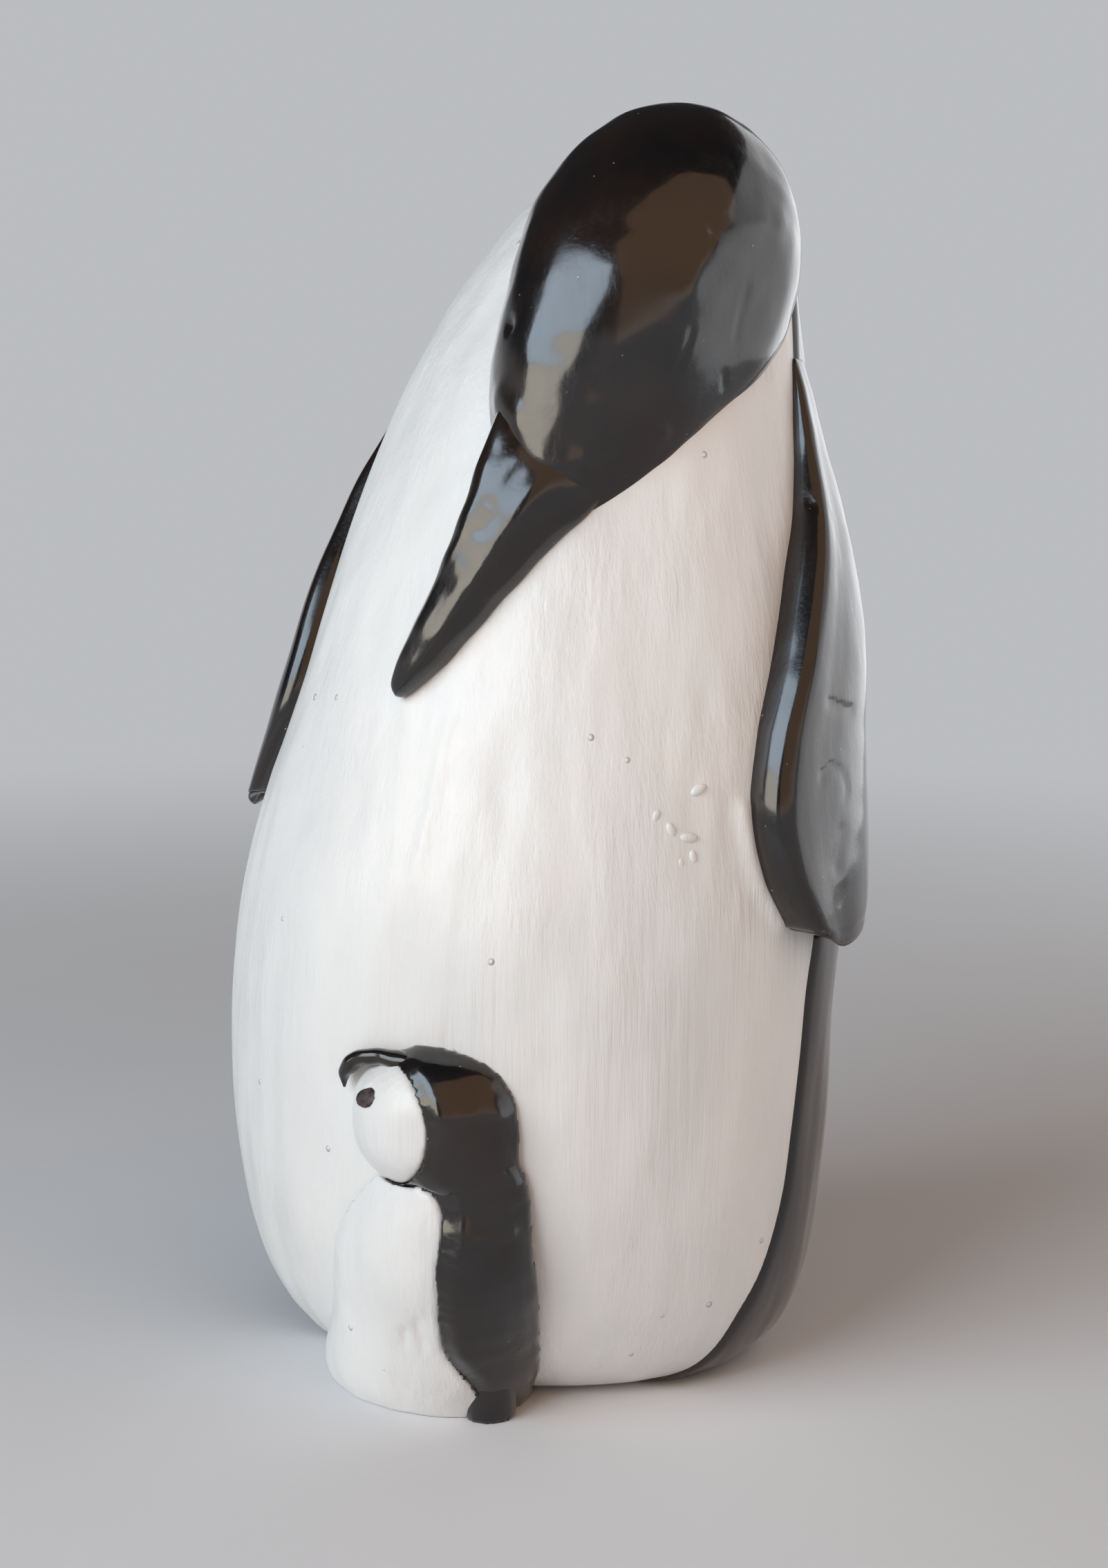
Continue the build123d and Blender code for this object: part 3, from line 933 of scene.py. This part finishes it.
def makeFlipper(node):
    look = flipperSides[node]
    shrink = flippers["endShrink"]
    ends = len(shrink)
    rows = smoothRows(flippers["rows"], flippers["count"], flippers["weights"])
    rows = np.vstack([rows[0]] * ends + [rows])
    arch = flippers["endArch"]
    pinch = flippers["pinch"]
    lift = np.zeros(len(rows))
    lift[:ends] = flippers["endLift"]
    lift[ends:] = pinch["lift"] * np.exp(-np.arange(len(rows) - ends) / pinch["rows"])
    outline = np.array(flippers["outline"])

    def ringOf(row, angles):
        level, front, back, share = rows[row]
        level = flippers["top"] - (flippers["top"] - level) * look["length"]
        along = (1 - np.cos(angles)) / 2
        thick = look["thickness"] * share
        stand = np.interp(along, outline[:, 0], outline[:, 1]) * thick
        out = np.where(np.sin(angles) > tiny, stand, -flippers["sink"])
        raised = lift[row]
        if row < ends:
            core = thick * flippers["core"]
            out = core + (out - core) * shrink[row]
            along = 0.5 + (along - 0.5) * shrink[row]
            raised = lift[ends] + (lift[row] - lift[ends]) * easeStep(along, *flippers["endReach"])
        spread = front + (back - front) * along
        if look["side"] < 0:
            spread = 180 - spread
        rise = arch["height"] * ((along - arch["lowest"]) / (1 - arch["lowest"])) ** 2
        z = level * body["height"] + raised + rise * math.exp(-max(0, row - ends) / arch["rows"])
        return np.array([onBody(*place) for place in zip(z, spread, out)])

    piece = sweepForm(look["name"], len(rows), flippers["segments"], ringOf)
    soften(piece, flippers["softening"])
    addLumps(piece, look["lumps"])
    for path, width, height in look["grooves"]:
        drawLine(piece, path, width, height)
    finishPiece(piece, "black_paint", node)


for nodeName in flipperSides:
    makeFlipper(nodeName)
print("beak and flippers done")

# Pieces that keep the CAD form under a softened clay skin
# Columns: node, name, paint, voxel, softening rounds, growth and lumps
copies = [
    ("chick_body", "chickBelly", "white_paint", 0.26, 5, 0.12, [(4, 0.16, 17, 0.7), (1.5, 0.05, 18, 0.5)]),
    ("chick_mantle", "chickBack", "black_paint", 0.24, 4, 0.14, [(4, 0.14, 19, 1), (1.5, 0.05, 20, 1)]),
    ("chick_tail", "chickTail", "black_paint", 0.22, 5, 0.12, [(2, 0.10, 21, 1)]),
    ("chick_face", "chickFace", "white_paint", 0.22, 4, 0.12, [(3, 0.08, 22, 1)]),
    ("chick_hood", "chickCap", "black_paint", 0.20, 3, 0.14, [(3, 0.10, 23, 1), (1.2, 0.04, 24, 1)]),
    ("chick_eye", "chickEye", "eye_paint", 0.10, 4, 0.05, [(0.7, 0.05, 26, 1)]),
]
# Black coats swell away from the white next to them, which leaves a rolled edge
# Columns: the coat's white neighbours, swell and reach
swells = {
    "chick_mantle": (["chick_body"], 0.75, 2.2),
    "chick_hood": (["chick_face", "chick_body"], 0.50, 1.6),
}
edgeSink = 0.62
# Folds: path, width, height and fade; slim: top, drop and inward move down the chick's left side
chick = {
    "neck": {"side": (0.0, 6.5), "level": 26.5, "ease": 4.0, "drop": 1.9, "widen": 0.5},
    "folds": [
        ([(1.0, -27.0, 10.7), (0.7, -26.6, 9.1), (0.8, -26.3, 7.6), (1.0, -25.7, 6.0)], 0.50, -0.34, 0.45),
        ([(-0.3, -26.8, 9.6), (-0.6, -26.4, 8.2), (-0.5, -25.8, 6.2)], 0.5, -0.26, 0.45),
    ],
    "tailHeight": 2.9,
    "tailShift": (0.1, -0.65, 0),
    "shoulder": ((3.9, -25.4, 13.0), 2.8, 0.50),
    "rolledEdge": {
        "path": [(4.4, -26.2, 20.0), (4.3, -26.0, 17.8), (4.2, -25.9, 15.4), (3.9, -25.4, 13.0)],
        "width": 1.1,
        "height": 0.45,
        "fade": 0.3,
    },
    "slimSide": (3.0, 8.0),
    "slim": [(14.0, 8.0, 0.45), (4.5, 4.5, 0.8)],
    "eyeWidth": 1.8,
    "bulge": {"top": 21.0, "widest": 14.0, "bottom": 3.0},
    "backBulge": 1.1,
    "bellyBulge": 0.5,
}
# Horn's rows: place and radius
horn = {
    "rows": [
        (-6.9, -25.1, 28.1, 0.12), (-6.9, -25.05, 28.8, 0.38), (-6.75, -25.1, 29.5, 0.62),
        (-6.3, -25.15, 30.1, 0.74), (-5.7, -25.2, 30.6, 0.72), (-4.7, -25.3, 30.9, 0.70),
        (-3.5, -25.4, 31.05, 0.74), (-2.1, -25.5, 31.0, 0.80), (-0.8, -25.4, 30.8, 0.80),
    ],
    "weights": (1, 1, 1, 1),
    "count": 40,
    "segments": 40,
    "outward": (0, -1, 0.1),
    "depth": 1.15,
    "lumps": [(1.2, 0.10, 25, 1)],
}


def swellCoat(piece, neighbours, swell, reach):
    near = KDTree(sum(len(nodes[name].data.vertices) for name in neighbours))
    for name in neighbours:
        for vert in nodes[name].data.vertices:
            near.insert(vert.co, 0)
    near.balance()
    points = readPoints(piece)
    away = np.array([near.find(Vector(p) * mm)[2] for p in points]) / mm
    push = swell * (easeStep(away, 0.0, reach) - edgeSink)
    writePoints(piece, points + readNormals(piece) * push[:, None])


# Head's black cap comes down to a level neck crease on the chick's left
def lowerNeck(piece):
    neck = chick["neck"]
    points = readPoints(piece)
    side = easeStep(points[:, 0], *neck["side"])
    low = easeStep(neck["level"] - points[:, 2], 0, neck["ease"])
    points[:, 2] -= neck["drop"] * side * low
    points[:, 0] += neck["widen"] * side * low
    writePoints(piece, points)


# Front that swells out below the neck
def swellFront(piece, height):
    bulge = chick["bulge"]
    points = readPoints(piece)
    fall = easeStep(bulge["top"] - points[:, 2], 0, bulge["top"] - bulge["widest"])
    points[:, 1] -= height * fall * easeStep(points[:, 2], bulge["bottom"], bulge["widest"])
    writePoints(piece, points)


# Shoulder that catches the window, and less width down the chick's left side
def shapeBack(piece):
    swellFront(piece, chick["backBulge"])
    pressDab(piece, *chick["shoulder"])
    drawLine(piece, **chick["rolledEdge"])
    points = readPoints(piece)
    side = easeStep(points[:, 0], *chick["slimSide"])
    for top, drop, inward in chick["slim"]:
        points[:, 0] -= inward * side * easeStep(top - points[:, 2], 0, drop)
    writePoints(piece, points)


def shapeBelly(piece):
    swellFront(piece, chick["bellyBulge"])
    for path, width, height, fade in chick["folds"]:
        drawLine(piece, path, width, height, fade)


def raiseTail(piece):
    writePoints(piece, readPoints(piece) * (1, 1, chick["tailHeight"]) + chick["tailShift"])


# Eye is drawn out sideways, as the photo's camera sees it
def widenEye(piece):
    points = readPoints(piece)
    turn = math.radians(view["turn"])
    sideways = np.array((math.cos(turn), math.sin(turn), 0))
    wider = (points - points.mean(0)) @ sideways * (chick["eyeWidth"] - 1)
    writePoints(piece, points + np.outer(wider, sideways))


def keepAboveFloor(piece):
    writePoints(piece, np.maximum(readPoints(piece), (-np.inf, -np.inf, 0)))


# Small hooked horn over the face, lying on the mother's breast
def makeHorn():
    rows = smoothRows(horn["rows"], horn["count"], horn["weights"])

    def ringOf(row, turns):
        ahead = rows[min(row + 1, len(rows) - 1)] - rows[max(row - 1, 0)]
        forward = Vector(ahead[:3]).normalized()
        crosswise = forward.cross(Vector(horn["outward"])).normalized()
        outward = crosswise.cross(forward)
        radius = rows[row][3]
        across = np.outer(np.cos(turns) * radius, crosswise)
        out = np.outer(np.sin(turns) * radius * horn["depth"], outward)
        return rows[row][:3] + across + out

    piece = sweepForm("chickBeak", len(rows), horn["segments"], ringOf)
    addLumps(piece, horn["lumps"])
    finishPiece(piece, "black_paint", "chick_beak")


shapes = {
    "chick_body": shapeBelly,
    "chick_mantle": shapeBack,
    "chick_tail": raiseTail,
    "chick_hood": lowerNeck,
    "chick_eye": widenEye,
}
for nodeName, pieceName, paint, voxel, rounds, grow, waves in copies:
    copied = clayCopy(nodeName, pieceName, voxel, rounds, grow)
    if nodeName in swells:
        swellCoat(copied, *swells[nodeName])
    if nodeName in shapes:
        shapes[nodeName](copied)
    addLumps(copied, waves)
    keepAboveFloor(copied)
    finishPiece(copied, paint, nodeName)
makeHorn()
print("copies done")

# Floor: pale near the figure and fading into the room's colour between two distances
floor = {
    "colour": (0.78, 0.79, 0.81),
    "darker": 0.96,
    "radius": 4000,
    "segments": 96,
    "near": 100,
    "far": 380,
    "mottle": {"scale": 0.05, "detail": 4, "rough": 0.6},
    "coat": {"Roughness": 0.9, "Specular IOR Level": 0.1},
}


def makeFloor():
    bm = bmesh.new()
    bmesh.ops.create_circle(bm, cap_ends=True, segments=floor["segments"], radius=floor["radius"] * mm)
    piece = newPiece("floor", bm)
    material, tree, place, shader = paintBase("floorPaint")
    mottle = grain(tree, place, **floor["mottle"])
    darker = tuple(part * floor["darker"] for part in floor["colour"])
    tree.links.new(mixColour(tree, mottle, floor["colour"], darker), shader.inputs["Base Color"])
    setSockets(shader, floor["coat"])
    reach = addNode(tree, "ShaderNodeVectorMath", {"operation": "LENGTH"}, {0: place})
    fade = ramp(tree, reach.outputs["Value"], floor["near"], floor["far"], way="SMOOTHSTEP")
    glow = addNode(tree, "ShaderNodeEmission", {"Color": (*room["colour"], 1), "Strength": room["strength"]})
    mix = addNode(tree, "ShaderNodeMixShader")
    tree.links.new(fade, mix.inputs[0])
    tree.links.new(shader.outputs[0], mix.inputs[1])
    tree.links.new(glow.outputs[0], mix.inputs[2])
    output = next(node for node in tree.nodes if node.bl_idname == "ShaderNodeOutputMaterial")
    tree.links.new(mix.outputs[0], output.inputs["Surface"])
    piece.data.materials.append(material)


makeFloor()
